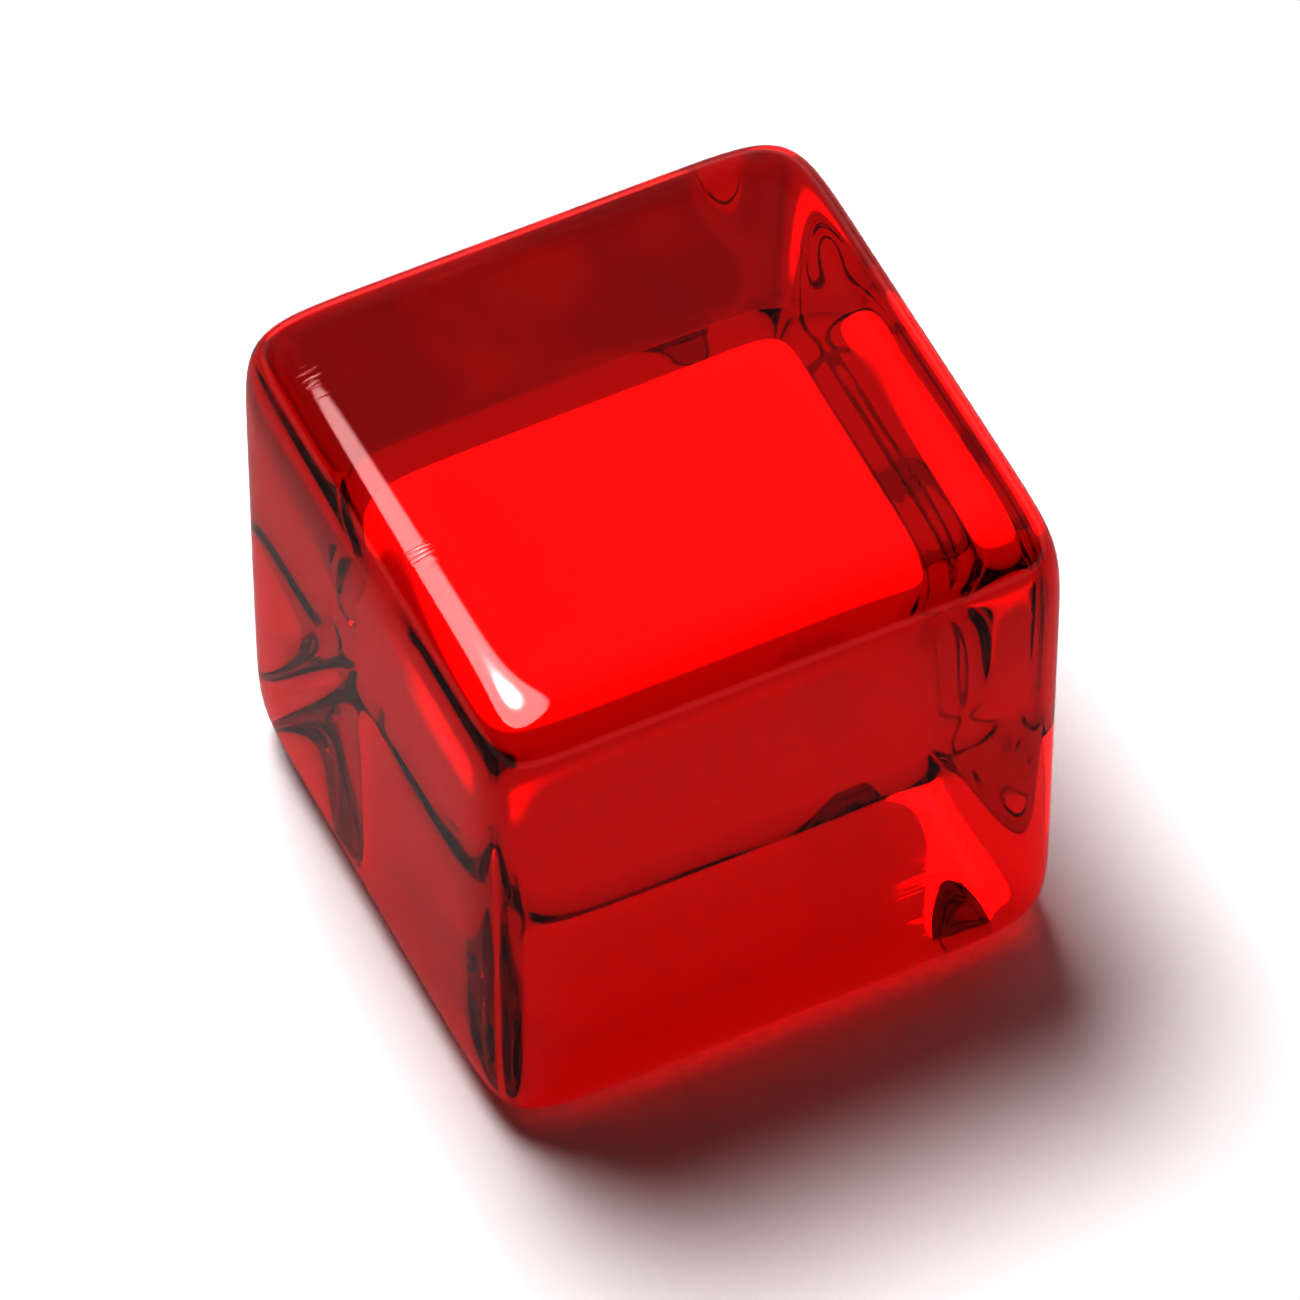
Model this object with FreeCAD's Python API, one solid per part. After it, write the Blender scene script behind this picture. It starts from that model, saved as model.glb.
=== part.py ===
import FreeCAD, Part
import os

# Blank die: one solid cube of clear red plastic, with the same round on all its edges.
# The frame is +Z up, and its origin is the centre of the square that the die rests on.

# Driving dimensions, in millimetres.
SIDE = 16.0            # distance between opposite faces
EDGE_RADIUS = 2.0      # round along each of the twelve edges, which meet in ball-shaped corners

OUTPUT_FOLDER = "parts"


def die_body():
    """The whole die: a cube standing on z = 0, rounded all over, with nothing set into it."""
    low_corner = FreeCAD.Vector(-SIDE / 2.0, -SIDE / 2.0, 0.0)
    block = Part.makeBox(SIDE, SIDE, SIDE, low_corner)
    return block.makeFillet(EDGE_RADIUS, block.Edges)


def save(node, shape):
    """Check one node's shape and write it as a STEP file named after the node."""
    if not shape.isValid() or len(shape.Solids) != 1:
        raise ValueError(node + " is not one valid solid")
    shape.exportStep(os.path.join(OUTPUT_FOLDER, node + ".step"))
    print(node, "volume", round(shape.Volume, 1), "mm3,", len(shape.Faces), "faces")


os.makedirs(OUTPUT_FOLDER, exist_ok=True)
save("die_body", die_body())
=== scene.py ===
import math

import bpy
import numpy as np
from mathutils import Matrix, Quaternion, Vector, noise


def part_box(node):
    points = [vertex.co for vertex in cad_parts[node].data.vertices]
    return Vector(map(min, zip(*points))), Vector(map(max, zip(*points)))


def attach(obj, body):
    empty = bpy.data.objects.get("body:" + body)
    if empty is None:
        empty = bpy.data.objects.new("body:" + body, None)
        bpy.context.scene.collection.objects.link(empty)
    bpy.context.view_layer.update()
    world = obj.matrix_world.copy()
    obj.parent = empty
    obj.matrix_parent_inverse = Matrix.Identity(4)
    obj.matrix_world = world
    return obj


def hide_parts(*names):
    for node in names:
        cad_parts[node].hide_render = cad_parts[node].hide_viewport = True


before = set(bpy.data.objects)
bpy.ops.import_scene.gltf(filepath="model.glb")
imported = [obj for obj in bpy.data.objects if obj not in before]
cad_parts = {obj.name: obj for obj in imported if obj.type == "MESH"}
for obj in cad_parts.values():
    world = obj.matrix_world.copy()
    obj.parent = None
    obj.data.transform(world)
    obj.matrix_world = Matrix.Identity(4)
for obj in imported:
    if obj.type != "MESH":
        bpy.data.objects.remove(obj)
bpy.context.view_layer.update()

# A clear red acrylic die on a white table: one solid moulded block with softly
# crowned faces and well rounded edges. Lengths are in metres.

MM = 0.001

LOW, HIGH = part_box("die_body")
CENTRE = (LOW + HIGH) / 2
SIDE = HIGH.x - LOW.x
HALF = SIDE / 2

# The block
CELLS = 112                   # squares along each edge of the block's grid
CROWDING = 0.25               # how much the squares crowd towards the edges
ROUNDNESS = 11.0              # power n of the rounded cube x^n + y^n + z^n = 1
RIPPLE_DEPTH = 0.013 * MM     # faint waves that moulding and polishing leave
RIPPLE_LENGTH = 7.0 * MM

# Clear red acrylic
ACRYLIC_IOR = 1.49
DYE_COLOUR = (0.925, 0.05, 0.04, 1.0)
DYE_DENSITY = 330.0           # per metre

# Wear on the polished faces. A scale is how many cells of a pattern fit in a metre.
FINE_SCRATCHES = {"turn": (0.3, 0.2, 0.7), "scale": 260.0, "stretch": 14.0}
CROSSING_SCRATCHES = {"turn": (0.9, 0.4, 2.1), "scale": 210.0, "stretch": 18.0}
SCRATCH_WIDTH = 0.08          # in cells
SCRATCHED_AREAS = {"scale": 300.0, "start": 0.55, "end": 0.75}
PITS = {"scale": 420.0, "size": 0.06, "share": 0.25}
SMEARS = {"scale": 140.0, "start": 0.45, "end": 0.8}
SCRATCH_ROUGHNESS = 0.10
PIT_ROUGHNESS = 0.30
SMEAR_ROUGHNESS = 0.02
SCRATCH_DEPTH = 0.15          # as a share of a pit's depth
PIT_DEPTH = 0.015 * MM
BUMP_STRENGTH = 0.6
CLOUD_DETAIL = 3.0
CLOUD_ROUGHNESS = 0.6

# The camera stands on the -X -Y side and looks down on the die
CAMERA_AZIMUTH = math.radians(-26.0)
CAMERA_ELEVATION = math.radians(52.0)
CAMERA_DISTANCE = 18.0 * SIDE
FRAME_WIDTH = 2.05 * SIDE
SENSOR_WIDTH = 36.0           # millimetres, as Blender counts them
AIM_HEIGHT = 0.44 * SIDE

# Lamps: azimuth is measured from straight behind the die, to the camera's right, and
# spread is how wide the lamp looks from the die. Angles are in degrees. A lamp is at its
# brightest inside its core, which is a share of its half width, and dark at its rim.
SOFTBOX = {
    "shape": "SQUARE",
    "azimuth": -58.0,
    "elevation": 69.5,
    "roll": 54.0,
    "distance": 0.50,
    "spread": 40.0,
    "radiance": 5.8,
    "core": 0.9,
}
BULB = {
    "shape": "DISK",
    "azimuth": -40.0,
    "elevation": 65.0,
    "roll": 0.0,
    "distance": 0.45,
    "spread": 18.0,
    "radiance": 22.0,
    "core": 0.1,
}

# The lamp that lights the table; the softbox and the bulb only gleam in the block
TABLE_LAMP = {
    "shape": "DISK",
    "azimuth": -42.0,
    "elevation": 70.0,
    "roll": 0.0,
    "distance": 0.50,
    "spread": 28.0,
    "radiance": 9.5,
    "core": 0.9,
}

# White table, and a glowing card of painted light and shade that the clear block shows through its
# base
TABLE_SIDES = 96
TABLE_RADIUS = 0.13
TABLE_DROP = 0.02 * MM        # the table top is this far under the die
TABLE_COLOUR = (0.90, 0.90, 0.90, 1.0)
CARD_DROP = 0.5 * SIDE
CARD_SIZE = 4.0
# The card's bright patch is painted light, standing for lit table seen through the base
PATCH_X = (-4.0 * MM, 13.0 * MM)
PATCH_Y = (3.0 * MM, 12.2 * MM)
PATCH_BLUR = 0.8 * MM
PAINTED_PATCH_GLOW = (1.17, 1.17, 1.17, 1.0)
# The card's dark cloudy area round this place is a painted shadow, standing for the shaded table under
# the die
PAINTED_SHADOW_CENTRE = (4.3 * MM, -0.8 * MM, LOW.z - CARD_DROP)
PAINTED_SHADOW_RIM = (7.6 * MM, 10.0 * MM)
PAINTED_SHADOW_DARK = (0.30, 0.30, 0.30, 1.0)
PAINTED_SHADOW_PALE = (0.50, 0.50, 0.50, 1.0)
PAINTED_SHADOW_CLOUDS = {"scale": 160.0, "start": 0.3, "end": 0.7}
# The card's pale surround is painted light
PAINTED_FAR_GLOW = (0.57, 0.57, 0.57, 1.0)

# The room: dim overhead and in front, a pale cloudy wall behind, white at the horizon.
# What the block shows through itself is brighter than what falls on the table.
ROOM_COLOUR = (0.06, 0.04, 0.04, 1.0)
WALL_SHADE = (0.20, 0.19, 0.20, 1.0)
WALL_COLOUR = (0.37, 0.35, 0.36, 1.0)
ROOM_THROUGH = (0.80, 0.80, 0.80, 1.0)
WALL_THROUGH = (0.60, 0.60, 0.60, 1.0)
HORIZON_COLOUR = (0.60, 0.60, 0.60, 1.0)
WALL_EDGE = (0.2, 0.6)        # cosine of the angle from straight behind
WALL_CLOUDS = {"scale": 2.5, "start": 0.35, "end": 0.65}
HORIZON_EDGE = (0.05, 0.20)   # sine of the angle above the horizon

# Light paths and picture
BLOCK_BOUNCES = 24
DIFFUSE_BOUNCES = 4
BOUNCE_LIMIT = 0.8            # the most light that one bounced sample may bring
EXPOSURE = 0.85
GAMMA = 0.6


def link(tree, source, target):
    tree.links.new(source, target)


def add_node(tree, kind, **inputs):
    """A node with some of its inputs set; an underscore in a name stands for a space."""
    made = tree.nodes.new(kind)
    for name, value in inputs.items():
        made.inputs[name.replace("_", " ")].default_value = value
    return made


def maths(tree, operation, first, second):
    """A Math node whose inputs are sockets or plain numbers."""
    made = tree.nodes.new("ShaderNodeMath")
    made.operation = operation
    for socket, value in zip(made.inputs, (first, second)):
        if isinstance(value, (int, float)):
            socket.default_value = value
        else:
            link(tree, value, socket)
    return made.outputs["Value"]


def ramp(tree, value, start, end, low=0.0, high=1.0):
    """A smooth step from low to high as value goes from start to end."""
    made = add_node(tree, "ShaderNodeMapRange", From_Min=start, From_Max=end, To_Min=low, To_Max=high)
    made.interpolation_type = "SMOOTHSTEP"
    link(tree, value, made.inputs["Value"])
    return made.outputs["Result"]


def blend(tree, factor, first, second):
    """A colour between two colours, each a socket or a plain colour."""
    made = tree.nodes.new("ShaderNodeMix")
    made.data_type = "RGBA"
    sockets = {socket.name: socket for socket in made.inputs if socket.enabled}
    link(tree, factor, sockets["Factor"])
    for socket, value in ((sockets["A"], first), (sockets["B"], second)):
        if isinstance(value, tuple):
            socket.default_value = value
        else:
            link(tree, value, socket)
    return next(socket for socket in made.outputs if socket.enabled)


def empty_material(name):
    """A material with nothing in its tree but the output."""
    material = bpy.data.materials.new(name)
    material.use_nodes = True
    tree = material.node_tree
    tree.nodes.clear()
    output = tree.nodes.new("ShaderNodeOutputMaterial")
    return material, tree, output


def scratches(tree, place, turn, scale, stretch):
    """Thin hair scratches in one direction: 1 on a scratch, 0 off it."""
    mapping = add_node(tree, "ShaderNodeMapping", Rotation=turn, Scale=(scale, scale * stretch, scale))
    link(tree, place, mapping.inputs["Vector"])
    cells = add_node(tree, "ShaderNodeTexVoronoi", Scale=1.0)
    cells.feature = "DISTANCE_TO_EDGE"
    link(tree, mapping.outputs["Vector"], cells.inputs["Vector"])
    return ramp(tree, cells.outputs["Distance"], 0.0, SCRATCH_WIDTH, 1.0, 0.0)


def specks(tree, place, scale, size, share):
    """Small round dots on a share of the cells of a scattered pattern."""
    cells = add_node(tree, "ShaderNodeTexVoronoi", Scale=scale)
    link(tree, place, cells.inputs["Vector"])
    dot = ramp(tree, cells.outputs["Distance"], size / 2, size, 1.0, 0.0)
    picked = tree.nodes.new("ShaderNodeSeparateColor")
    link(tree, cells.outputs["Color"], picked.inputs["Color"])
    chosen = maths(tree, "LESS_THAN", picked.outputs["Red"], share)
    return maths(tree, "MULTIPLY", dot, chosen)


def blotches(tree, place, scale, start, end):
    """Soft cloudy patches, from 0 to 1."""
    cloud = add_node(
        tree,
        "ShaderNodeTexNoise",
        Scale=scale,
        Detail=CLOUD_DETAIL,
        Roughness=CLOUD_ROUGHNESS,
    )
    link(tree, place, cloud.inputs["Vector"])
    return ramp(tree, cloud.outputs["Fac"], start, end)


def wear(tree, place):
    """The roughness and the depth of hair scratches, pits and smears on the polished faces."""
    fine = scratches(tree, place, **FINE_SCRATCHES)
    crossing = scratches(tree, place, **CROSSING_SCRATCHES)
    patchy = blotches(tree, place, **SCRATCHED_AREAS)
    marks = maths(tree, "MULTIPLY", maths(tree, "MAXIMUM", fine, crossing), patchy)
    pits = specks(tree, place, **PITS)
    smears = blotches(tree, place, **SMEARS)
    worn = maths(tree, "MULTIPLY", marks, SCRATCH_ROUGHNESS)
    pitted = maths(tree, "MULTIPLY", pits, PIT_ROUGHNESS)
    smeared = maths(tree, "MULTIPLY", smears, SMEAR_ROUGHNESS)
    rough = maths(tree, "ADD", maths(tree, "ADD", worn, pitted), smeared)
    depth = maths(tree, "ADD", maths(tree, "MULTIPLY", marks, SCRATCH_DEPTH), pits)
    return rough, depth


def red_acrylic():
    """Polished clear red acrylic, dyed all through and faintly worn."""
    material, tree, output = empty_material("red_acrylic")
    shader = add_node(
        tree,
        "ShaderNodeBsdfPrincipled",
        Base_Color=(1.0, 1.0, 1.0, 1.0),
        Transmission_Weight=1.0,
        IOR=ACRYLIC_IOR,
    )
    dye = add_node(tree, "ShaderNodeVolumeAbsorption", Color=DYE_COLOUR, Density=DYE_DENSITY)
    place = tree.nodes.new("ShaderNodeTexCoord").outputs["Object"]
    rough, depth = wear(tree, place)
    link(tree, rough, shader.inputs["Roughness"])
    bump = add_node(tree, "ShaderNodeBump", Strength=BUMP_STRENGTH, Distance=PIT_DEPTH)
    bump.invert = True
    link(tree, depth, bump.inputs["Height"])
    link(tree, bump.outputs["Normal"], shader.inputs["Normal"])
    link(tree, shader.outputs["BSDF"], output.inputs["Surface"])
    link(tree, dye.outputs["Volume"], output.inputs["Volume"])
    return material


def table_white():
    """Matt white table board."""
    material, tree, output = empty_material("table_white")
    shader = add_node(
        tree,
        "ShaderNodeBsdfPrincipled",
        Base_Color=TABLE_COLOUR,
        Roughness=1.0,
        Specular_IOR_Level=0.0,
    )
    link(tree, shader.outputs["BSDF"], output.inputs["Surface"])
    return material


def band(tree, value, span, blur):
    """1 where value is inside the span, falling to 0 over the blur at each end."""
    rise = ramp(tree, value, span[0] - blur, span[0] + blur)
    fall = ramp(tree, value, span[1] - blur, span[1] + blur, 1.0, 0.0)
    return maths(tree, "MULTIPLY", rise, fall)


def painted_light_and_shade():
    """Painted light and shade on a glowing card: a soft bright patch of painted light, a cloudy
    painted shadow beside it, and a pale glowing surround.
    """
    material, tree, output = empty_material("painted_light_and_shade")
    place = tree.nodes.new("ShaderNodeNewGeometry").outputs["Position"]
    axes = tree.nodes.new("ShaderNodeSeparateXYZ")
    link(tree, place, axes.inputs["Vector"])
    across = band(tree, axes.outputs["X"], PATCH_X, PATCH_BLUR)
    along = band(tree, axes.outputs["Y"], PATCH_Y, PATCH_BLUR)
    patch = maths(tree, "MULTIPLY", across, along)
    reach = tree.nodes.new("ShaderNodeVectorMath")
    reach.operation = "DISTANCE"
    reach.inputs[1].default_value = PAINTED_SHADOW_CENTRE
    link(tree, place, reach.inputs[0])
    away = ramp(tree, reach.outputs["Value"], *PAINTED_SHADOW_RIM)
    # Painted shadow: dark cloudy glow round the shadow's centre, standing for the shaded table under
    # the die
    shade = blend(tree, blotches(tree, place, **PAINTED_SHADOW_CLOUDS), PAINTED_SHADOW_DARK, PAINTED_SHADOW_PALE)
    base = blend(tree, away, shade, PAINTED_FAR_GLOW)
    # The card gives off its colours as light: painted light and shade, not lit by any lamp
    lit = add_node(tree, "ShaderNodeEmission", Strength=1.0)
    link(tree, blend(tree, patch, base, PAINTED_PATCH_GLOW), lit.inputs["Color"])
    link(tree, lit.outputs["Emission"], output.inputs["Surface"])
    return material


def add_mesh(name, points, faces, material):
    """A smooth-shaded mesh object in the scene."""
    mesh = bpy.data.meshes.new(name)
    mesh.from_pydata([tuple(point) for point in points], [], faces)
    mesh.shade_smooth()
    mesh.materials.append(material)
    made = bpy.data.objects.new(name, mesh)
    bpy.context.scene.collection.objects.link(made)
    return made


def cube_grid():
    """Whole-number points on a cube's surface, and the squares between them, facing outwards."""
    numbers = {}
    squares = []
    for axis in range(3):
        for side in (0, CELLS):
            for i in range(CELLS):
                for j in range(CELLS):
                    ring = [(i, j), (i + 1, j), (i + 1, j + 1), (i, j + 1)]
                    if side == 0:
                        ring.reverse()
                    square = []
                    for u, v in ring:
                        point = [0, 0, 0]
                        point[axis] = side
                        point[(axis + 1) % 3] = u
                        point[(axis + 2) % 3] = v
                        square.append(numbers.setdefault(tuple(point), len(numbers)))
                    squares.append(square)
    return np.array(list(numbers), float), squares


def rounded_cube(grid):
    """The grid's points moved to the rounded cube, within -1 and 1 on each axis."""
    steps = grid / CELLS * 2 - 1
    crowded = (1 + CROWDING) * steps - CROWDING * steps ** 3
    spread = np.tan(crowded * math.pi / 4)
    reach = (np.abs(spread) ** ROUNDNESS).sum(axis=1) ** (1 / ROUNDNESS)
    return spread / reach[:, None]


def ripple(point):
    """How far a point sinks under the faint waves of the moulded faces, from 0 to 1."""
    return 0.5 + 0.5 * noise.noise(Vector(point) * (HALF / RIPPLE_LENGTH))


def die_block():
    """The solid block, filling the CAD solid's box exactly."""
    grid, squares = cube_grid()
    points = rounded_cube(grid)
    sunk = np.array([ripple(point) for point in points])
    points *= 1 - sunk[:, None] * (RIPPLE_DEPTH / HALF)
    low, high = points.min(axis=0), points.max(axis=0)
    points = (points - low) / (high - low) * np.array(HIGH - LOW) + np.array(LOW)
    block = add_mesh("clear_block", points, squares, red_acrylic())
    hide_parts("die_body")
    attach(block, "root")
    return block


def table():
    """A round white table top just under the die, which the clear block doesn't show."""
    level = LOW.z - TABLE_DROP
    angles = [2 * math.pi * turn / TABLE_SIDES for turn in range(TABLE_SIDES)]
    rim = [(TABLE_RADIUS * math.cos(angle), TABLE_RADIUS * math.sin(angle), level) for angle in angles]
    top = add_mesh("table_top", rim, [list(range(TABLE_SIDES))], table_white())
    top.visible_transmission = False


def card():
    """A card glowing with painted light and shade under the table top, seen only through the clear
    block.
    """
    reach = CARD_SIZE / 2
    level = LOW.z - CARD_DROP
    ring = ((-1, -1), (1, -1), (1, 1), (-1, 1))
    corners = [(x * reach, y * reach, level) for x, y in ring]
    sheet = add_mesh("painted_light_card", corners, [[0, 1, 2, 3]], painted_light_and_shade())
    sheet.visible_camera = False
    sheet.visible_diffuse = False
    sheet.visible_glossy = False
    sheet.visible_shadow = False


def heading(azimuth, elevation):
    """The direction away from the die, with azimuth from straight behind it to the camera's right."""
    behind = Vector((-math.sin(CAMERA_AZIMUTH), math.cos(CAMERA_AZIMUTH), 0.0))
    right = Vector((math.cos(CAMERA_AZIMUTH), math.sin(CAMERA_AZIMUTH), 0.0))
    level = behind * math.cos(azimuth) + right * math.sin(azimuth)
    return level * math.cos(elevation) + Vector((0.0, 0.0, math.sin(elevation)))


def aim(thing, place, direction, roll=0.0):
    """Puts a lamp or camera at a place, looking along a direction, rolled about it."""
    turn = direction.to_track_quat("-Z", "Y") @ Quaternion((0.0, 0.0, 1.0), roll)
    thing.location = place
    thing.rotation_euler = turn.to_euler()


def soften(light, core):
    """Fades an area lamp from full inside its core to dark at its rim."""
    light.use_nodes = True
    tree = light.node_tree
    glow = tree.nodes["Emission"]
    across = add_node(tree, "ShaderNodeVectorMath")
    across.operation = "DISTANCE"
    across.inputs[1].default_value = (0.5, 0.5, 0.0)
    link(tree, tree.nodes.new("ShaderNodeNewGeometry").outputs["Parametric"], across.inputs[0])
    fade = ramp(tree, across.outputs["Value"], core / 2, 0.5, 1.0, 0.0)
    link(tree, fade, glow.inputs["Strength"])


def lamp(name, shape, azimuth, elevation, roll, distance, spread, radiance, core):
    """An area lamp that looks as wide as spread degrees from the die."""
    width = 2 * distance * math.tan(math.radians(spread) / 2)
    light = bpy.data.lights.new(name, "AREA")
    light.shape = shape
    light.size = width
    light.energy = radiance * math.pi * width ** 2
    soften(light, core)
    made = bpy.data.objects.new(name, light)
    bpy.context.scene.collection.objects.link(made)
    direction = heading(math.radians(azimuth), math.radians(elevation))
    aim(made, direction * distance, -direction, math.radians(roll))
    return made


def lamps():
    """The softbox and bulb that gleam in the block, and the lamp that lights the table."""
    for name, form in (("softbox", SOFTBOX), ("bulb", BULB)):
        gleam = lamp(name, **form)
        gleam.visible_diffuse = False
    key = lamp("table_lamp", **TABLE_LAMP)
    key.visible_glossy = False
    key.visible_transmission = False


def studio_walls():
    """The room: dim overhead and in front, a paler wall behind, white near and under the horizon."""
    world = bpy.data.worlds.new("studio")
    world.use_nodes = True
    tree = world.node_tree
    tree.nodes.clear()
    output = tree.nodes.new("ShaderNodeOutputWorld")
    backdrop = add_node(tree, "ShaderNodeBackground", Strength=1.0)
    direction = tree.nodes.new("ShaderNodeTexCoord").outputs["Generated"]
    axes = tree.nodes.new("ShaderNodeSeparateXYZ")
    link(tree, direction, axes.inputs["Vector"])
    behind = heading(0.0, 0.0)
    facing = add_node(tree, "ShaderNodeVectorMath")
    facing.operation = "DOT_PRODUCT"
    facing.inputs[1].default_value = behind
    link(tree, direction, facing.inputs[0])
    side = ramp(tree, facing.outputs["Value"], *WALL_EDGE)
    clouds = blotches(tree, direction, **WALL_CLOUDS)
    outside = blend(tree, side, ROOM_COLOUR, blend(tree, clouds, WALL_SHADE, WALL_COLOUR))
    through = blend(tree, side, ROOM_THROUGH, WALL_THROUGH)
    path = tree.nodes.new("ShaderNodeLightPath")
    untouched = maths(tree, "LESS_THAN", path.outputs["Diffuse Depth"], 0.5)
    crossed = maths(tree, "MULTIPLY", path.outputs["Is Transmission Ray"], untouched)
    room = blend(tree, crossed, outside, through)
    height = ramp(tree, axes.outputs["Z"], *HORIZON_EDGE)
    link(tree, blend(tree, height, HORIZON_COLOUR, room), backdrop.inputs["Color"])
    link(tree, backdrop.outputs["Background"], output.inputs["Surface"])
    bpy.context.scene.world = world


def camera():
    """A long lens at the viewing angle, with the die and its shadow in frame."""
    lens = bpy.data.cameras.new("camera")
    lens.sensor_width = SENSOR_WIDTH
    lens.lens = SENSOR_WIDTH * CAMERA_DISTANCE / FRAME_WIDTH
    made = bpy.data.objects.new("camera", lens)
    bpy.context.scene.collection.objects.link(made)
    away = heading(math.pi, CAMERA_ELEVATION)
    target = Vector((CENTRE.x, CENTRE.y, AIM_HEIGHT))
    aim(made, target + away * CAMERA_DISTANCE, -away)
    bpy.context.scene.camera = made


def light_paths():
    """Enough bounces for light that crosses the block many times, and a contrasty picture.

    The denoiser is given the picture alone, because its other guides are noisy in a clear block.
    """
    scene = bpy.context.scene
    scene.cycles.max_bounces = BLOCK_BOUNCES
    scene.cycles.transmission_bounces = BLOCK_BOUNCES
    scene.cycles.glossy_bounces = BLOCK_BOUNCES
    scene.cycles.diffuse_bounces = DIFFUSE_BOUNCES
    scene.cycles.sample_clamp_indirect = BOUNCE_LIMIT
    scene.cycles.denoising_input_passes = "RGB"
    scene.view_settings.view_transform = "Standard"
    scene.view_settings.exposure = EXPOSURE
    scene.view_settings.gamma = GAMMA


die_block()
table()
card()
lamps()
studio_walls()
camera()
light_paths()
